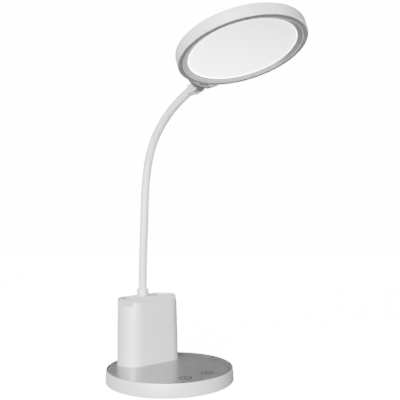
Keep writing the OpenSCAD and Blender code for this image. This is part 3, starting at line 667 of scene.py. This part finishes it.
for i in range(1, joints + 1):
    begin = neck["startAt"] if i == 1 else (i - 1) * neck["pitch"]
    end = i * neck["pitch"] + (neck["endPast"] if i == joints else 0.0)
    centres, heading = neckLine(np.linspace(begin, end, neck["stations"]))
    normals = np.column_stack([0.0 * heading, -np.sin(heading), np.cos(heading)])
    rings = tubeRings(centres, normals, np.array([1.0, 0.0, 0.0]), neck["radius"] / perMetre, neck["sides"])
    piece = addShells(f"neckSkin{i}", [(rings, False)], "extrudedSilicone")
    middle = (i - 0.5) * neck["pitch"]
    start, stop = neckLine(np.array([middle - neck["spread"], middle + neck["spread"]]))[0]
    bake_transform(piece)
    replaced = [f"neck_sleeve_{i}"] + (["neck_sleeve_0"] if i == 1 else [])
    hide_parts(*replaced)
print("neck made")

# stage
# A pale floor and a round white wall, both lit from within so that they stay white behind the lamp. They
# are shown to the camera only: the light on the lamp comes from the world and the softboxes. Sizes are in
# metres.
stage = {"floorHalf": 7.0, "wallRadius": 6.0, "wallFoot": -0.01, "wallHeight": 9.0, "wallSides": 96,
         "color": "#F7F7F7", "roughness": 1.0, "glow": 16.0}

# paper, rolled out as a backdrop and lit evenly: plain matt white
paper, paperShader = startMaterial("backdropPaper")
paperShader.inputs["Base Color"].default_value = linear(stage["color"])
paperShader.inputs["Roughness"].default_value = stage["roughness"]
paperShader.inputs["Emission Color"].default_value = linear(stage["color"])
paperShader.inputs["Emission Strength"].default_value = stage["glow"]
materials["backdropPaper"] = paper

corners = stage["floorHalf"] * np.array([(-1, -1, 0), (1, -1, 0), (1, 1, 0), (-1, 1, 0)])
floor = addMesh("floor", corners, [[0, 1, 2, 3]], "backdropPaper", smooth=False)
around = np.linspace(0, 2 * math.pi, stage["wallSides"], endpoint=False)
circle = stage["wallRadius"] * np.column_stack([np.cos(around), np.sin(around), 0.0 * around])
wallRings = np.stack([circle + (0, 0, height) for height in (stage["wallFoot"], stage["wallHeight"])])
*sides, _, lid = ringFaces(wallRings)
wall = addMesh("wall", wallRings.reshape(-1, 3), [*sides, lid], "backdropPaper")
for sheet in (floor, wall):
    sheet.visible_diffuse = False
    sheet.visible_glossy = False
    sheet.visible_transmission = False
    sheet.visible_shadow = False

# The world stands for the studio: a little light from everywhere, more from below, as off a pale floor, and
# more from the front left. "belowOver" and "frontOver" are the cosines with straight up and with the front
# between which these two change.
sky = {"color": "#FFFFFF", "base": 0.04, "fromBelow": 0.3, "belowOver": (-0.95, -0.3),
       "fromFront": 0.3, "frontDirection": (-0.75, -0.66, 0.1), "frontOver": (-0.2, 1.0)}
world = bpy.data.worlds.new("world")
bpy.context.scene.world = world
world.use_nodes = True
background = world.node_tree.nodes["Background"]
background.inputs["Color"].default_value = linear(sky["color"])
direction = addNode(world, "ShaderNodeTexCoord").outputs["Generated"]
upward = addNode(world, "ShaderNodeVectorMath", {0: direction, 1: (0, 0, 1)}, operation="DOT_PRODUCT")
below = addNode(world, "ShaderNodeMapRange", {
    "Value": upward.outputs["Value"],
    "From Min": sky["belowOver"][0],
    "From Max": sky["belowOver"][1],
    "To Min": sky["fromBelow"],
    "To Max": 0.0,
}, interpolation_type="SMOOTHSTEP")
forward = addNode(world, "ShaderNodeVectorMath", {
    0: direction,
    1: sky["frontDirection"],
}, operation="DOT_PRODUCT")
front = addNode(world, "ShaderNodeMapRange", {
    "Value": forward.outputs["Value"],
    "From Min": sky["frontOver"][0],
    "From Max": sky["frontOver"][1],
    "To Min": 0.0,
    "To Max": sky["fromFront"],
}, interpolation_type="SMOOTHSTEP")
both = addNode(world, "ShaderNodeMath", {
    0: below.outputs["Result"],
    1: front.outputs["Result"],
}, operation="ADD")
total = addNode(world, "ShaderNodeMath", {0: both.outputs[0], 1: sky["base"]}, operation="ADD")
world.node_tree.links.new(total.outputs[0], background.inputs["Strength"])

# A large key from the camera's left, a low front softbox under the head, a softbox seen in the gloss only,
# and two fills for the back and the top that leave no highlight. Places and sizes are in metres, powers in
# watts.
lights = {
    "keySoftbox": {"place": (-1.45, -0.80, 0.65), "aim": (0, 0, 0.2), "size": 1.0, "power": 84.0},
    "lowSoftbox": {"place": (-0.3, -1.55, 0.1), "aim": (0, -0.1, 0.36), "size": 0.6, "power": 16.0},
    "glossSoftbox": {"place": (-1.28, -1.0, 0.6), "aim": (0, 0, 0.2), "size": 0.8, "power": 280.0,
                     "diffuse": False},
    "backFill": {"place": (1.3, 1.4, 0.3), "aim": (0, 0, 0.22), "size": 1.2, "power": 50.0, "glossy": False},
    "topFill": {"place": (0.3, 0.7, 1.8), "aim": (0, 0, 0.2), "size": 1.2, "power": 14.0, "glossy": False},
}
for name, settings in lights.items():
    data = bpy.data.lights.new(name, "AREA")
    data.shape = "SQUARE"
    data.size = settings["size"]
    data.energy = settings["power"]
    light = addObject(name, data)
    light.visible_camera = False
    light.visible_diffuse = settings.get("diffuse", True)
    light.visible_glossy = settings.get("glossy", True)
    back = np.array(settings["place"]) - np.array(settings["aim"])
    back = back / np.linalg.norm(back)
    right = np.cross([0, 0, 1], back)
    right = right / np.linalg.norm(right)
    light.matrix_world = standAt(settings["place"], right, np.cross(back, right), back)
print("stage made")
